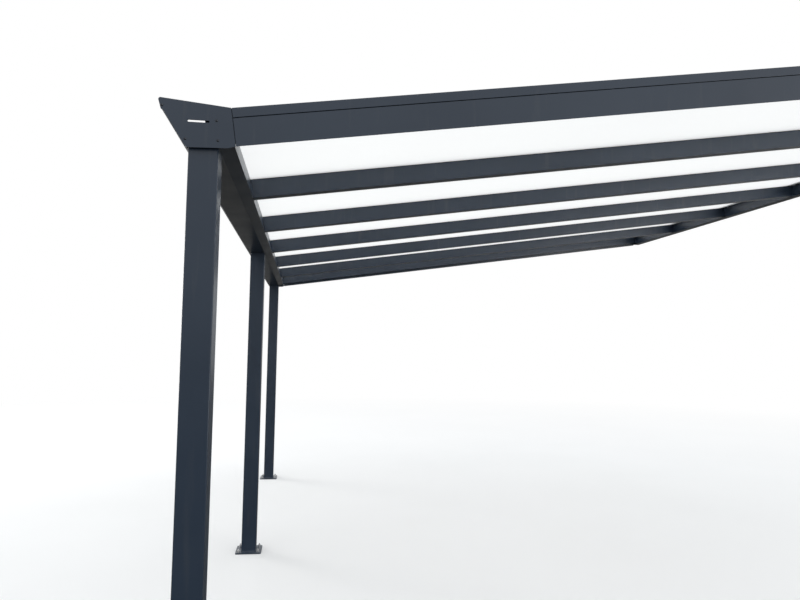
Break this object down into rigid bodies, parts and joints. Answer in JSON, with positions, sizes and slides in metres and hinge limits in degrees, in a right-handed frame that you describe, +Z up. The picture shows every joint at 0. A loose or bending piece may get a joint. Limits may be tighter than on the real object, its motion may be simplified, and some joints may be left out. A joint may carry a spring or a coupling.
{
  "type": "lean-to carport",
  "caption": "Open lean-to carport: sloping rafters and translucent roof panels between a wall plate and a gutter beam that stands on posts with foot plates.",
  "frame": {"origin": "on the back face of the wall plate, at mid-length and mid-height of that face", "axes": "+X into the wall, +Y along the wall from the front to the rear, +Z up"},
  "size_m": [5.1608, 5.978, 3.2924],
  "materials": {
    "anthracite_aluminium": "fine matt powder coat in anthracite grey with a soft sheen at low angles",
    "opal_sheet": "opal white multiwall polycarbonate with a smooth skin, lets diffuse light through",
    "seal_rubber": "black extruded rubber gasket"
  },
  "bodies": {
    "root": {"wall_plate": "anthracite_aluminium", "wall_plate_cap_front": "anthracite_aluminium", "wall_plate_cap_rear": "anthracite_aluminium", "wall_cover": "anthracite_aluminium", "gutter_beam": "anthracite_aluminium", "gutter_end_plate_front": "anthracite_aluminium", "gutter_end_plate_rear": "anthracite_aluminium", "post_front": "anthracite_aluminium", "post_base_front": "anthracite_aluminium", "post_middle": "anthracite_aluminium", "post_base_middle": "anthracite_aluminium", "post_rear": "anthracite_aluminium", "post_base_rear": "anthracite_aluminium", "rafter_1": "anthracite_aluminium", "rafter_cap_1": "anthracite_aluminium", "rafter_2": "anthracite_aluminium", "rafter_cap_2": "anthracite_aluminium", "rafter_3": "anthracite_aluminium", "rafter_cap_3": "anthracite_aluminium", "rafter_4": "anthracite_aluminium", "rafter_cap_4": "anthracite_aluminium", "rafter_5": "anthracite_aluminium", "rafter_cap_5": "anthracite_aluminium", "rafter_6": "anthracite_aluminium", "rafter_cap_6": "anthracite_aluminium", "rafter_7": "anthracite_aluminium", "rafter_cap_7": "anthracite_aluminium", "panel_end_trim_1": "anthracite_aluminium", "panel_end_trim_2": "anthracite_aluminium", "panel_end_trim_3": "anthracite_aluminium", "panel_end_trim_4": "anthracite_aluminium", "panel_end_trim_5": "anthracite_aluminium", "panel_end_trim_6": "anthracite_aluminium", "roof_panel_1": "opal_sheet", "roof_panel_2": "opal_sheet", "roof_panel_3": "opal_sheet", "roof_panel_4": "opal_sheet", "roof_panel_5": "opal_sheet", "roof_panel_6": "opal_sheet", "panel_side_seals": "seal_rubber", "panel_cross_seals": "seal_rubber", "cap_seals": "seal_rubber"}
  },
  "joints": []
}
